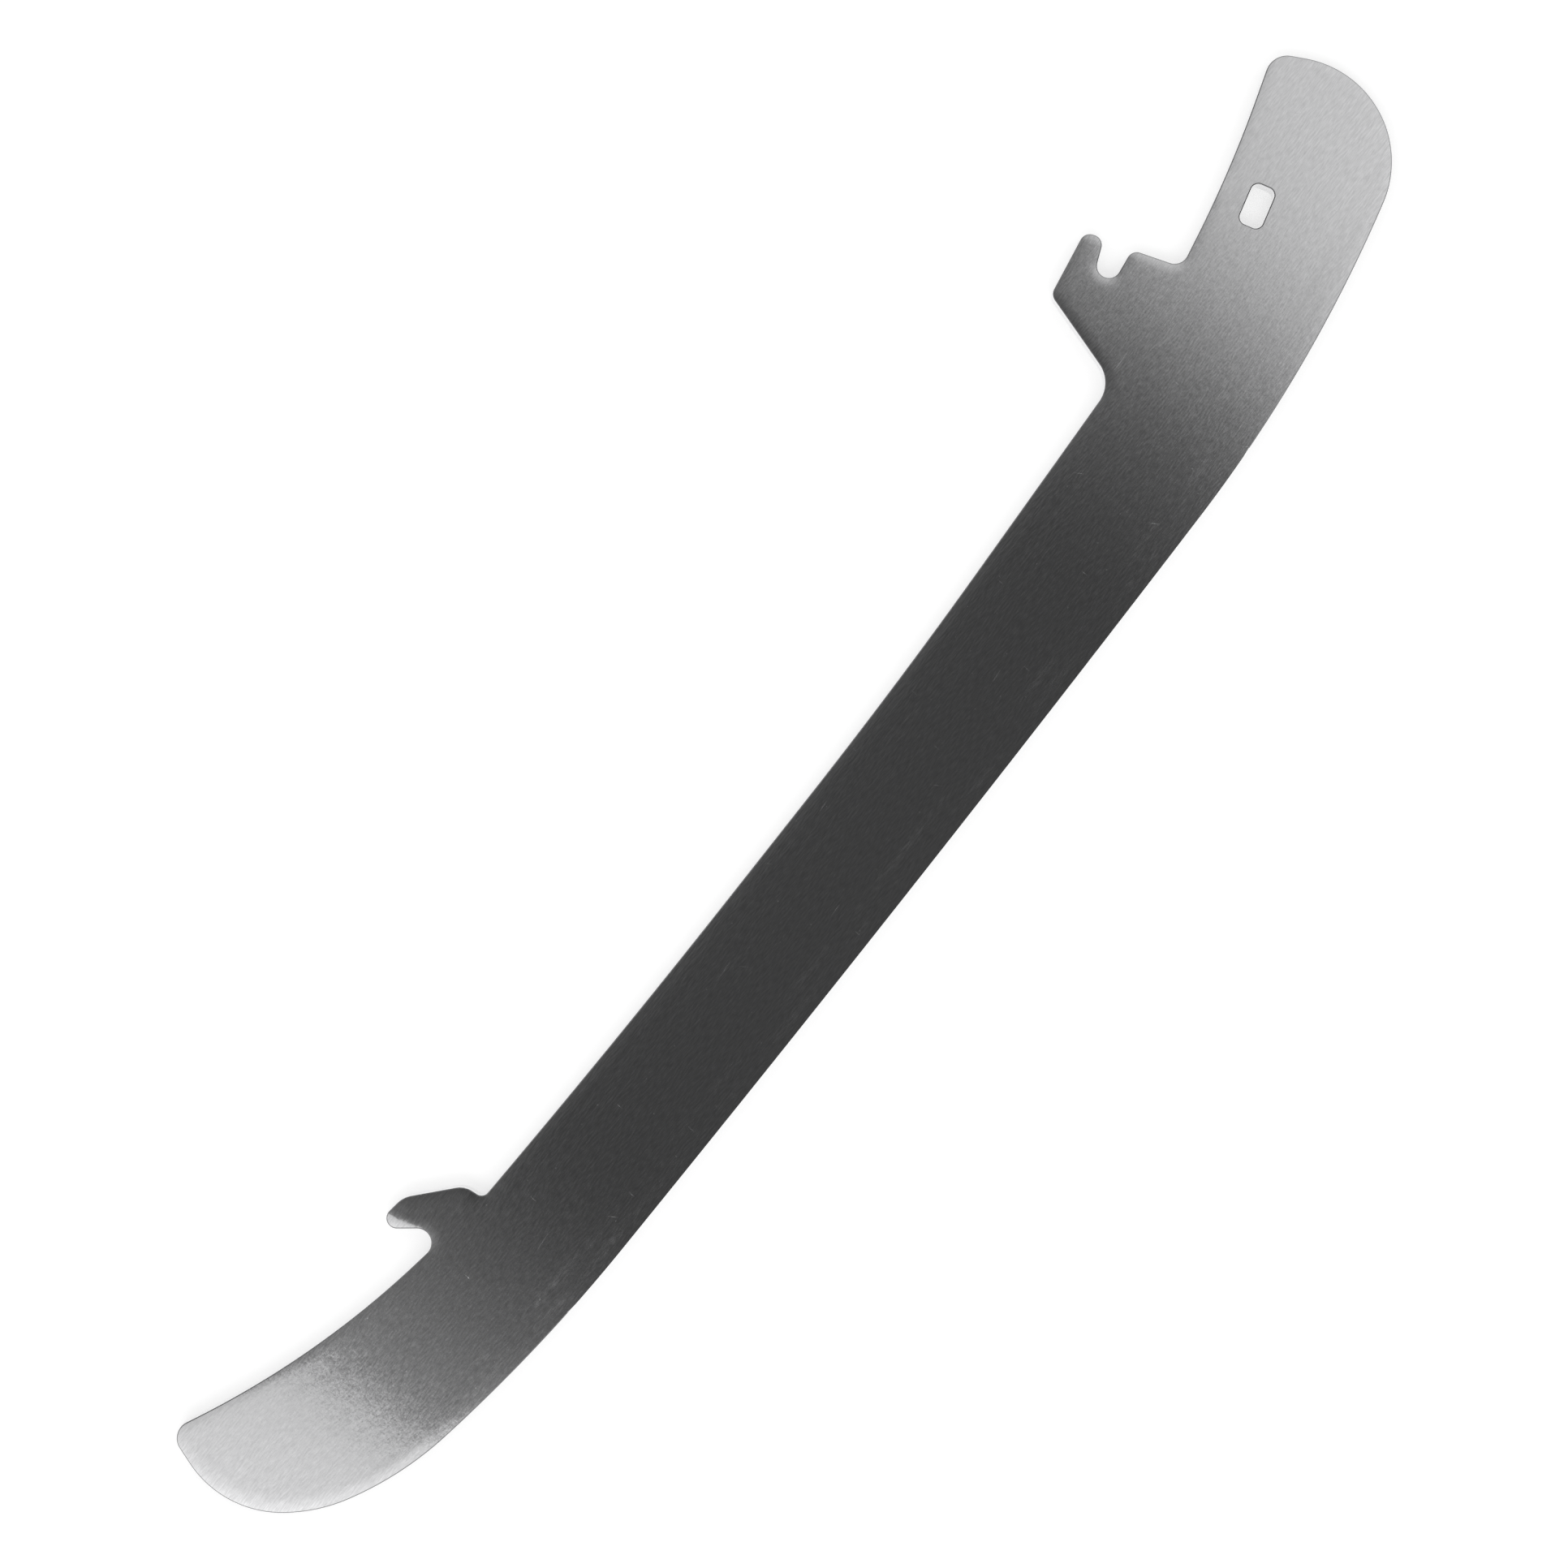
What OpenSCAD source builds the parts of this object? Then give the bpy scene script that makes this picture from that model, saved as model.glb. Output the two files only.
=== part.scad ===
// Replacement runner of an ice hockey skate: one flat plate of stainless steel that lies on its side.
// X runs along the running edge from the toe to the heel, Y from the ice to the boot, Z through the plate.
// The rocker touches the ice line, Y = 0, at the middle of the length, X = 0.
// The plate's middle plane is Z = 0.

/* [Runner] */
// Overall length along the ice line
runner_length = 263; // [240:1:300]
// Thickness of the plate
runner_thickness = 2.9; // [2.5:0.1:4]
// Height of the waist, from the ice line to the lowest stretch of the boot side
waist_height = 19.9; // [16:0.1:21]
// Radius of the rocker, the long middle arc of the running edge
rocker_radius = 4572; // [2500:1:6000]
// Radius of the hollow that is ground along the rocker, across the running edge
hollow_radius = 12.7; // [8:0.1:25]
// Width of the flat land left beside the hollow at each edge
hollow_land = 0.1; // [0.05:0.01:0.3]

/* [Toe sweep] */
// Radius of the first arc that lifts the toe off the ice
toe_lift_radius = 250; // [200:1:300]
// Slope at which the first arc ends
toe_lift_slope = 9.4; // [8:0.1:11]
// Radius of the second arc
toe_bend_radius = 50; // [40:0.5:60]
// Slope at which the second arc ends
toe_bend_slope = 28.5; // [24:0.5:32]
// Radius of the third arc
toe_turn_radius = 24.4; // [20:0.2:30]
// Slope at which the third arc ends
toe_turn_slope = 52; // [46:0.5:58]
// Radius of the nose, the last arc, which ends the runner
toe_nose_radius = 16; // [12:0.2:20]
// Slope at which the nose runs straight towards the tip
toe_nose_slope = 108.5; // [100:0.5:115]
// Height of the toe tip's corner
toe_tip_up = 35.8; // [32:0.1:40]
// Round of the toe tip's corner
toe_tip_round = 2.6; // [1:0.1:4]
// Bend in the toe's upper edge: distance from the toe end
toe_brow_in = 24; // [18:0.1:30]
// Bend in the toe's upper edge: height
toe_brow_up = 25.6; // [24:0.1:27]
// Bend in the toe's upper edge: radius
toe_brow_round = 134; // [60:1:140]

/* [Toe hook] */
// Seat behind the toe hook, where its two sides would meet: distance from the toe end
toe_seat_in = 51.3; // [48:0.1:54]
// Seat behind the toe hook, where its two sides would meet: height
toe_seat_up = 21.6; // [20:0.1:23]
// Radius of the seat
toe_seat_round = 2.1; // [1:0.1:2.6]
// Point of the toe hook, where its two sides would meet: distance from the toe end
toe_hook_in = 43.9; // [41:0.1:46]
// Point of the toe hook, where its two sides would meet: height
toe_hook_up = 30.9; // [29.5:0.1:33]
// Radius of the toe hook's nose
toe_hook_round = 1.5; // [0.8:0.1:1.8]
// Top corner of the toe hook: distance from the toe end
toe_crown_in = 50.3; // [49:0.1:52]
// Top corner of the toe hook: height
toe_crown_up = 30.1; // [29:0.1:31]
// Top corner of the toe hook: radius
toe_crown_round = 4; // [1:0.1:5]
// Shoulder behind the toe hook: distance from the toe end
toe_shoulder_in = 57.1; // [55:0.1:59]
// Shoulder behind the toe hook: height
toe_shoulder_up = 24.1; // [22.8:0.1:26]
// Shoulder behind the toe hook: radius
toe_shoulder_round = 3.3; // [1:0.1:4]
// Foot of the shoulder, where the waist begins: distance from the toe end
toe_foot_in = 57.4; // [56.5:0.1:60]
// Foot of the shoulder, where the waist begins: height
toe_foot_up = 20.9; // [19.9:0.1:22]
// Foot of the shoulder, where the waist begins: radius
toe_foot_round = 1.2; // [0.5:0.1:1.8]

/* [Waist] */
// Bend on the toe side of the waist: distance from the middle
waist_toe_bend = 44.5; // [30:0.5:55]
// Bend on the toe side of the waist: radius
waist_toe_round = 1600; // [500:10:2000]
// Bend on the heel side of the waist: distance from the middle
waist_heel_bend = 21; // [10:0.5:35]
// Bend on the heel side of the waist: radius
waist_heel_round = 870; // [400:10:1000]

/* [Heel post] */
// Front foot of the post, where the waist ends: distance from the heel end
post_foot_in = 56.1; // [54:0.1:60]
// Front foot of the post, where the waist ends: height
post_foot_up = 22.5; // [21:0.1:24]
// Front foot of the post, where the waist ends: radius
post_foot_round = 4.7; // [2:0.1:7]
// Top front corner of the post: distance from the heel end
post_crown_in = 51.6; // [49:0.1:54]
// Top front corner of the post: height
post_crown_up = 37.4; // [36.2:0.1:39]
// Top front corner of the post: radius
post_crown_round = 1.6; // [0.5:0.1:3]
// Upper corner of the heel hook: distance from the heel end
hook_top_in = 41.5; // [40.5:0.1:43]
// Upper corner of the heel hook: height
hook_top_up = 39.2; // [38.5:0.1:41]
// Lower corner of the heel hook: distance from the heel end
hook_lip_in = 40.3; // [39:0.1:42]
// Lower corner of the heel hook: height
hook_lip_up = 36.5; // [36:0.1:37.5]
// Radius of the heel hook's two corners
hook_round = 1.5; // [0.5:0.1:1.5]
// Centre of the round seat of the notch under the heel hook: distance from the heel end
notch_in = 43.1; // [42:0.1:44.5]
// Centre of the round seat of the notch under the heel hook: height
notch_up = 33.4; // [33:0.1:34]
// Radius of the notch's seat
notch_round = 1.75; // [1:0.05:1.9]
// Rear corner of the shelf behind the notch: distance from the heel end
shelf_in = 39.2; // [38:0.1:40.5]
// Rear corner of the shelf behind the notch: height
shelf_up = 32.2; // [31.6:0.1:33.5]
// Rear corner of the shelf behind the notch: radius
shelf_round = 1.5; // [0.5:0.1:2]
// Rear foot of the post, where the heel's upper edge begins: distance from the heel end
rear_foot_in = 36.7; // [35:0.1:38]
// Rear foot of the post, where the heel's upper edge begins: height
rear_foot_up = 25; // [24:0.1:27]
// Rear foot of the post, where the heel's upper edge begins: radius
rear_foot_round = 2.1; // [0.5:0.1:3]

/* [Heel sweep] */
// Radius of the arc that lifts the heel off the ice
heel_lift_radius = 215; // [180:1:260]
// Slope at which that arc ends
heel_lift_slope = 15; // [13:0.1:17]
// Radius of the round that ends the heel
heel_end_radius = 15.2; // [12:0.1:18]
// Slope at which the heel's round runs straight towards the tip
heel_end_slope = 118; // [110:0.5:124]
// Height of the heel tip's corner
heel_tip_up = 33.9; // [32:0.1:37]
// Round of the heel tip's corner
heel_tip_round = 3.2; // [1:0.1:4]
// Bend in the heel's upper edge: distance from the heel end
heel_brow_in = 21.5; // [17:0.1:26]
// Bend in the heel's upper edge: height
heel_brow_up = 28.1; // [27:0.1:29]
// Bend in the heel's upper edge: radius
heel_brow_round = 180; // [60:1:200]

/* [Window] */
// Middle of the window through the heel: distance from the heel end
window_in = 23; // [18:0.1:28]
// Middle of the window through the heel: height
window_up = 21.9; // [18:0.1:23]
// Long side of the window
window_length = 6.3; // [4:0.1:9]
// Short side of the window
window_width = 3.6; // [3:0.1:5]
// Radius of the window's corners
window_round = 1.15; // [0.3:0.05:1.4]
// Tilt of the window's long side from the ice line
window_tilt = 15; // [0:0.5:30]

/* [Hidden] */

half_length = runner_length / 2;
// Steps per millimetre that the outline's points are set to
point_grid = 1000;
// Furthest that a drawn facet may lie inside its arc
facet_error = 0.005;
// Share of an edge that two rounds may fill between them
edge_share = 0.98;
// Length that the grinding pass goes on past each end of the rocker, beyond where it runs out
grind_overrun = 15;
steel_grey = [0.62, 0.62, 0.63];

toe_arcs = [
    [toe_lift_radius, toe_lift_slope],
    [toe_bend_radius, toe_bend_slope],
    [toe_turn_radius, toe_turn_slope],
    [toe_nose_radius, toe_nose_slope],
];
heel_arcs = [
    [heel_lift_radius, heel_lift_slope],
    [heel_end_radius, heel_end_slope],
];

function total(list) = list * [for (item = list) 1];
function toward(a, b) = (b - a) / norm(b - a);
function on_grid(p) = [for (c = p) round(c * point_grid) / point_grid];
function mirrored(p) = [-p.x, p.y];
function facets(r) = max(24, ceil(180 / acos(1 - facet_error / r)));
function from_toe(distance, up) = [distance - half_length, up];
function from_heel(distance, up) = [half_length - distance, up];

// Distance from the middle at which a sweep leaves the rocker, so that its last arc just ends the runner
function sweep_start(arcs) =
    let (last = len(arcs) - 1)
    let (reach = [
        for (k = [0 : last])
            arcs[k][0] * ((k == last ? 1 : sin(arcs[k][1])) - (k == 0 ? 0 : sin(arcs[k - 1][1])))
    ])
    (half_length - total(reach)) / (1 - arcs[0][0] / rocker_radius);

// Points where the arcs of a sweep meet, from point p and its slope outwards, on the heel's side
function sweep_points(arcs, p, slope, k = 0) =
    k == len(arcs) ? [p] :
    let (r = arcs[k][0], next = arcs[k][1])
    concat([p], sweep_points(arcs, p + r * [sin(next) - sin(slope), cos(slope) - cos(next)], next, k + 1));

// The whole sweep, from its start on the rocker
function sweep(arcs) =
    let (x = sweep_start(arcs), slope = asin(x / rocker_radius))
    sweep_points(arcs, [x, rocker_radius * (1 - cos(slope))], slope);

// Point at a given height on the straight line that leaves the end of a sweep
function sweep_tip(points, arcs, up) =
    let (end = points[len(arcs)], slope = arcs[len(arcs) - 1][1])
    [end.x + (up - end.y) / tan(slope), up];

// Length of edge that a round of radius r takes up at corner i of a run of points
function taken(run, r, i) =
    r == 0 ? 0 : r / tan(acos(toward(run[i], run[i - 1]) * toward(run[i], run[i + 1])) / 2);

// Rounds the inner corners of a run of [x, y, radius] corners that goes counterclockwise round the metal.
// Gives outline points [x, y, r], with r the radius of the arc to the next point: 0 is a straight
// edge, above 0 an arc that swells out and below 0 one that cuts in.
function rounded(corners) =
    let (last = len(corners) - 1)
    let (run = [for (c = corners) [c.x, c.y]])
    let (want = [for (i = [0 : last]) taken(run, corners[i].z, i)])
    let (fit = [
        for (i = [0 : last - 1])
            want[i] + want[i + 1] > edge_share * norm(run[i + 1] - run[i])
                ? edge_share * norm(run[i + 1] - run[i]) / (want[i] + want[i + 1]) : 1
    ])
    [
        for (i = [1 : last - 1])
            let (share = min(fit[i - 1], fit[i]))
            let (turn = sign(cross(run[i] - run[i - 1], run[i + 1] - run[i])))
            let (start = on_grid(run[i] + toward(run[i], run[i - 1]) * want[i] * share))
            let (end = on_grid(run[i] + toward(run[i], run[i + 1]) * want[i] * share))
            each [[start.x, start.y, turn * corners[i].z * share], [end.x, end.y, 0]]
    ];

toe_points = sweep(toe_arcs);
heel_points = sweep(heel_arcs);
toe_tip = mirrored(sweep_tip(toe_points, toe_arcs, toe_tip_up));
heel_tip = sweep_tip(heel_points, heel_arcs, heel_tip_up);

// Ice side of the outline, from the toe's nose to the end of the heel's round
ice_side = concat(
    [
        for (k = [len(toe_arcs) : -1 : 0])
            let (p = on_grid(mirrored(toe_points[k])))
            [p.x, p.y, k == 0 ? rocker_radius : toe_arcs[k - 1][0]]
    ],
    [
        for (k = [0 : len(heel_arcs)])
            let (p = on_grid(heel_points[k]))
            [p.x, p.y, k == len(heel_arcs) ? 0 : heel_arcs[k][0]]
    ]
);

// Direction of the line from p that just touches the circle of radius r about c, turned to that side of c
function touching(p, c, r, side) =
    let (way = atan2(c.y - p.y, c.x - p.x) + side * asin(r / norm(c - p)))
    [cos(way), sin(way)];

// Point where the line from p along u meets the line from q along v
function meeting(p, u, q, v) = p + u * cross(q - p, v) / cross(u, v);

// The notch's two sides run from the shelf and from the hook's lip to its round seat, and touch it
shelf = from_heel(shelf_in, shelf_up);
hook_lip = from_heel(hook_lip_in, hook_lip_up);
notch_seat = from_heel(notch_in, notch_up);
notch_corner = meeting(
    shelf, touching(shelf, notch_seat, notch_round, 1),
    hook_lip, touching(hook_lip, notch_seat, notch_round, -1)
);

function corner(p, r) = [p.x, p.y, r];

// Boot side of the outline, from the end of the heel's round to the toe's nose
boot_side = [
    corner(heel_points[len(heel_arcs)], 0),
    corner(heel_tip, heel_tip_round),
    corner(from_heel(heel_brow_in, heel_brow_up), heel_brow_round),
    corner(from_heel(rear_foot_in, rear_foot_up), rear_foot_round),
    corner(shelf, shelf_round),
    corner(notch_corner, notch_round),
    corner(hook_lip, hook_round),
    corner(from_heel(hook_top_in, hook_top_up), hook_round),
    corner(from_heel(post_crown_in, post_crown_up), post_crown_round),
    corner(from_heel(post_foot_in, post_foot_up), post_foot_round),
    corner([waist_heel_bend, waist_height], waist_heel_round),
    corner([-waist_toe_bend, waist_height], waist_toe_round),
    corner(from_toe(toe_foot_in, toe_foot_up), toe_foot_round),
    corner(from_toe(toe_shoulder_in, toe_shoulder_up), toe_shoulder_round),
    corner(from_toe(toe_crown_in, toe_crown_up), toe_crown_round),
    corner(from_toe(toe_hook_in, toe_hook_up), toe_hook_round),
    corner(from_toe(toe_seat_in, toe_seat_up), toe_seat_round),
    corner(from_toe(toe_brow_in, toe_brow_up), toe_brow_round),
    corner(toe_tip, toe_tip_round),
    corner(mirrored(toe_points[len(toe_arcs)]), 0),
];

// Point of the window's own frame, with its long side level, in the runner's frame
function in_window(along, across) =
    from_heel(window_in, window_up)
    + along * [cos(window_tilt), sin(window_tilt)]
    + across * [-sin(window_tilt), cos(window_tilt)];

// Corners of the window, from the middle of its lower side round to the same point
window_side = [
    corner(in_window(0, -window_width / 2), 0),
    corner(in_window(window_length / 2, -window_width / 2), window_round),
    corner(in_window(window_length / 2, window_width / 2), window_round),
    corner(in_window(-window_length / 2, window_width / 2), window_round),
    corner(in_window(-window_length / 2, -window_width / 2), window_round),
    corner(in_window(0, -window_width / 2), 0),
];

// Moves a shape in whole millimetres, then in grid steps, then by the rest, so that no digit is lost
module place(p) {
    whole = [for (c = p) round(c)];
    steps = on_grid(p - whole);
    translate(whole)
        translate(steps)
            translate(p - whole - steps)
                children();
}

// Unit vector from the chord of the arc from a to b towards the arc's centre
function inward(a, b, r) = sign(r) * [a.y - b.y, b.x - a.x] / norm(b - a);

// Distance from that chord to the arc's centre
function chord_rise(a, b, r) = sqrt(r * r - (b - a) * (b - a) / 4);

// Point halfway between the middle of the chord and the arc
function half_bow(a, b, r) = (a + b) / 2 - inward(a, b, r) * (abs(r) - chord_rise(a, b, r)) / 2;

// The cap between the chord from a to b and its arc, which swells out where r is above 0
module arc_cap(a, b, r) {
    along = toward(a, b);
    inside = inward(a, b, r);
    depth = norm(b - a) + abs(r) - chord_rise(a, b, r);
    intersection() {
        place((a + b) / 2 + inside * chord_rise(a, b, r))
            circle(r = abs(r), $fn = facets(abs(r)));
        polygon([a, b, b + (along - inside) * depth, a - (along + inside) * depth]);
    }
}

// Closed flat shape inside a list of outline points. Its polygon bows halfway along with each arc, so
// that it overlaps the cap that completes the arc.
module flat_shape(outline) {
    count = len(outline);
    start = [for (p = outline) [p.x, p.y]];
    end = [for (i = [1 : count]) start[i % count]];
    bend = [for (p = outline) p.z];
    difference() {
        union() {
            polygon([
                for (i = [0 : count - 1])
                    each bend[i] == 0 ? [start[i]] : [start[i], half_bow(start[i], end[i], bend[i])]
            ]);
            for (i = [0 : count - 1])
                if (bend[i] > 0)
                    arc_cap(start[i], end[i], bend[i]);
        }
        for (i = [0 : count - 1])
            if (bend[i] < 0)
                arc_cap(start[i], end[i], bend[i]);
    }
}

// The grinding pass along the rocker. It is drawn longer than the rocker and runs out by itself where
// the toe and the heel lift off the ice line.
module hollow_pass() {
    half_width = runner_thickness / 2 - hollow_land;
    axis_drop = sqrt(hollow_radius * hollow_radius - half_width * half_width);
    reach = max(toe_points[0].x, heel_points[0].x) + grind_overrun;
    swing = asin(reach / rocker_radius);
    translate([0, rocker_radius, 0])
        rotate_extrude(angle = 2 * swing, start = 270 - swing, $fn = facets(rocker_radius))
            translate([rocker_radius + axis_drop, 0])
                circle(r = hollow_radius, $fn = 2 * facets(hollow_radius));
}

// The runner, cut from plate and ground hollow along its rocker
module steel_runner() {
    color(steel_grey)
        difference() {
            linear_extrude(height = runner_thickness, center = true)
                difference() {
                    flat_shape(concat(ice_side, rounded(boot_side)));
                    flat_shape(rounded(window_side));
                }
            hollow_pass();
        }
}

steel_runner();
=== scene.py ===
"""The steel runner of an ice hockey skate, lying on its side, dressed as ground stainless steel.

Sizes are in millimetres and angles in degrees until they reach a mesh, which is in metres. X runs along the
running edge from the toe to the heel, Y from the ice to the boot and Z out of the plate's upper side.
"""

import enum
import logging
import math
from collections.abc import Callable
from dataclasses import dataclass

import bmesh
import bpy
from mathutils import Matrix, Vector
from mathutils.bvhtree import BVHTree


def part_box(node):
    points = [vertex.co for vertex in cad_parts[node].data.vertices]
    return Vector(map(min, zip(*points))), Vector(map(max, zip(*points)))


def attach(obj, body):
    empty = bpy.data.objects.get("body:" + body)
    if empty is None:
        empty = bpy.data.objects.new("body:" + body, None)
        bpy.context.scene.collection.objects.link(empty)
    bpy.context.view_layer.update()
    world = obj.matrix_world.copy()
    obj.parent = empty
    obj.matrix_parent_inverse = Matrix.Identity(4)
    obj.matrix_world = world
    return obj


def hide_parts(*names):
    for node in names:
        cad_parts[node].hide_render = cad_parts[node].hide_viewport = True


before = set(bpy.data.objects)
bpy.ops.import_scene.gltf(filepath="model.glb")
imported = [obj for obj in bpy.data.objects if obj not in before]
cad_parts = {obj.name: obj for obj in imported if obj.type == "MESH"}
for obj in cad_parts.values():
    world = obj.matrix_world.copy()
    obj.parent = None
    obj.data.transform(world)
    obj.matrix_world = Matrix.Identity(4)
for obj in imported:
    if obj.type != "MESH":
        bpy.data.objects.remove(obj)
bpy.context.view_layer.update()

log = logging.getLogger("runner")

# Short names for the types that finishes and light are made with
Socket = bpy.types.NodeSocket
Tree = bpy.types.NodeTree

NODE = "steel_runner"
BODY = "root"
# The mesh's own note of how far a point lies from the ice side, in millimetres
ICE_GAP = "ice_gap"
WHITE = "#ffffff"
MM = 0.001
MICRON = 1e-6
AXIS_X = Vector((1.0, 0.0, 0.0))
AXIS_Y = Vector((0.0, 1.0, 0.0))
AXIS_Z = Vector((0.0, 0.0, 1.0))
# Points closer than this are one point
SAME_POINT = 0.0005 * MM
# Faces that turn by less than this lie in one plane
FLAT = math.radians(0.5)
# Edges that turn by more than this show as a line
CREASE = math.radians(4)
# A wall's normal leans out of the level by less than this share
UPRIGHT = 0.02
# A mix node's sockets for numbers and for colours share their names, so they are known by their place
MIX_NUMBER_A = 2
MIX_NUMBER_B = 3
MIX_COLOUR_A = 6
MIX_COLOUR_B = 7
MIX_COLOUR = 2


class Region(enum.IntEnum):
    """A kind of surface on the runner, which is also its material slot."""

    SIDE = 0
    EDGE_BREAK = 1
    CUT_WALL = 2
    RUNNING_EDGE = 3


class Fade(enum.Enum):
    """How softly a value rises from its start to its end."""

    SOFT = "SMOOTHSTEP"
    SOFTER = "SMOOTHERSTEP"


def linear(hex_colour: str) -> tuple[float, ...]:
    """Turns an sRGB colour into linear light.

    Args:
        hex_colour: The colour, as "#rrggbb".

    Returns:
        Red, green and blue in linear light, and an alpha of 1.
    """
    shares = [int(hex_colour[i:i + 2], 16) / 255 for i in (1, 3, 5)]
    light = [s / 12.92 if s <= 0.04045 else ((s + 0.055) / 1.055) ** 2.4 for s in shares]
    return (*light, 1.0)


def add_node(tree: Tree, kind: str, feeds: dict | None = None, **settings: object) -> bpy.types.Node:
    """Adds a node with its settings and what feeds it.

    Args:
        tree: The node tree that it goes into.
        kind: Blender's name for the type of node.
        feeds: For each input, by name or number, a socket to link to it or a value to set.
        settings: Values for the node's own properties.

    Returns:
        The new node.
    """
    made = tree.nodes.new(kind)
    for name, value in settings.items():
        setattr(made, name, value)
    for name, value in (feeds or {}).items():
        if isinstance(value, Socket):
            tree.links.new(value, made.inputs[name])
        else:
            made.inputs[name].default_value = value
    return made


def across(size_mm: float) -> float:
    """The texture scale at which one unit of a pattern is that many millimetres."""
    return 1 / (size_mm * MM)


def ramp(value: float, start: float, end: float) -> float:
    """Rises softly from 0 at the start to 1 at the end."""
    share = min(max((value - start) / (end - start), 0.0), 1.0)
    return share * share * (3 - 2 * share)


def with_borders(faces: list[bmesh.types.BMFace]) -> list:
    """Lists faces with their edges and corners.

    Args:
        faces: The faces.

    Returns:
        The faces, then their edges, then their corners, each one once.
    """
    edges = dict.fromkeys(edge for face in faces for edge in face.edges)
    verts = dict.fromkeys(vert for face in faces for vert in face.verts)
    return [*faces, *edges, *verts]


@dataclass(frozen=True)
class Corner:
    """A corner of the outline, where its two straight sides would meet, and the round that it gets."""

    x: float
    y: float
    radius: float = 0.0

    @property
    def point(self) -> Vector:
        """The corner as a point in the plate's middle plane."""
        return Vector((self.x, self.y, 0.0))


@dataclass(frozen=True)
class EndCorner:
    """A corner of the boot side, measured inward from one end of the runner and up from the ice line."""

    inward: float
    up: float
    radius: float


@dataclass(frozen=True)
class Arc:
    """An arc of the running edge: its radius, and the slope at which it ends."""

    radius: float
    slope: float


@dataclass(frozen=True)
class Sweep:
    """One end of the running edge: arcs that lift off the rocker one after the other."""

    arcs: tuple[Arc, ...]

    @property
    def last(self) -> Arc:
        """The arc that ends the runner."""
        return self.arcs[-1]

    def start_slope(self, rocker: float, half_length: float) -> float:
        """Finds where the sweep leaves the rocker, so that its last arc just ends the runner.

        Args:
            rocker: Radius of the rocker.
            half_length: Half of the runner's length.

        Returns:
            The slope there, in radians.
        """
        reach = half_length - self.last.radius
        for arc, after in zip(self.arcs, self.arcs[1:]):
            reach -= (arc.radius - after.radius) * math.sin(math.radians(arc.slope))
        return math.asin(reach / (rocker - self.arcs[0].radius))


class Scriber:
    """Scribes an outline in the plate's middle plane as one chain of edges."""

    def __init__(self, mesh: bmesh.types.BMesh, start: Vector, heading: float, facet_error: float) -> None:
        """Sets the scriber down.

        Args:
            mesh: The mesh that it draws in.
            start: Where the chain begins, in millimetres.
            heading: The direction in which it sets off, in radians.
            facet_error: Furthest that a facet may lie inside its arc, in millimetres.
        """
        self.mesh = mesh
        self.heading = heading
        self.facet_error = facet_error
        self.tip = bmesh.ops.create_vert(mesh, co=start * MM)["vert"][0]

    @property
    def place(self) -> Vector:
        """Where the scriber is, in millimetres."""
        return self.tip.co / MM

    def straight(self, end: Vector) -> None:
        """Draws a straight edge to a point, unless the scriber is there already.

        Args:
            end: The point, in millimetres.
        """
        step = end * MM - self.tip.co
        if step.length < SAME_POINT:
            return
        self.heading = math.atan2(step.y, step.x)
        self.tip = bmesh.ops.extrude_vert_indiv(self.mesh, verts=[self.tip])["verts"][0]
        bmesh.ops.translate(self.mesh, verts=[self.tip], vec=step)

    def arc(self, radius: float, turn: float) -> None:
        """Draws an arc that goes on smoothly from what was drawn last.

        Args:
            radius: Radius of the arc.
            turn: Angle that it turns through, in radians, to the left if above 0.
        """
        side = Vector((-math.sin(self.heading), math.cos(self.heading), 0.0)) * math.copysign(radius, turn)
        steps = math.ceil(abs(turn) / (2 * math.acos(1 - self.facet_error / radius)))
        made = bmesh.ops.spin(
            self.mesh, geom=[self.tip], cent=self.tip.co + side * MM, axis=AXIS_Z, angle=turn, steps=steps
        )
        self.tip = made["geom_last"][0]
        self.heading += turn

    def rounded(self, corner: Corner, after: Vector) -> None:
        """Draws up to a corner and round it.

        Args:
            corner: The corner with its round.
            after: The corner that comes next.
        """
        before = (corner.point - self.place).normalized()
        beyond = (after - corner.point).normalized()
        turn = math.atan2(before.cross(beyond).z, before.dot(beyond))
        self.straight(corner.point - before * corner.radius * math.tan(abs(turn) / 2))
        if corner.radius:
            self.arc(corner.radius, turn)


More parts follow.
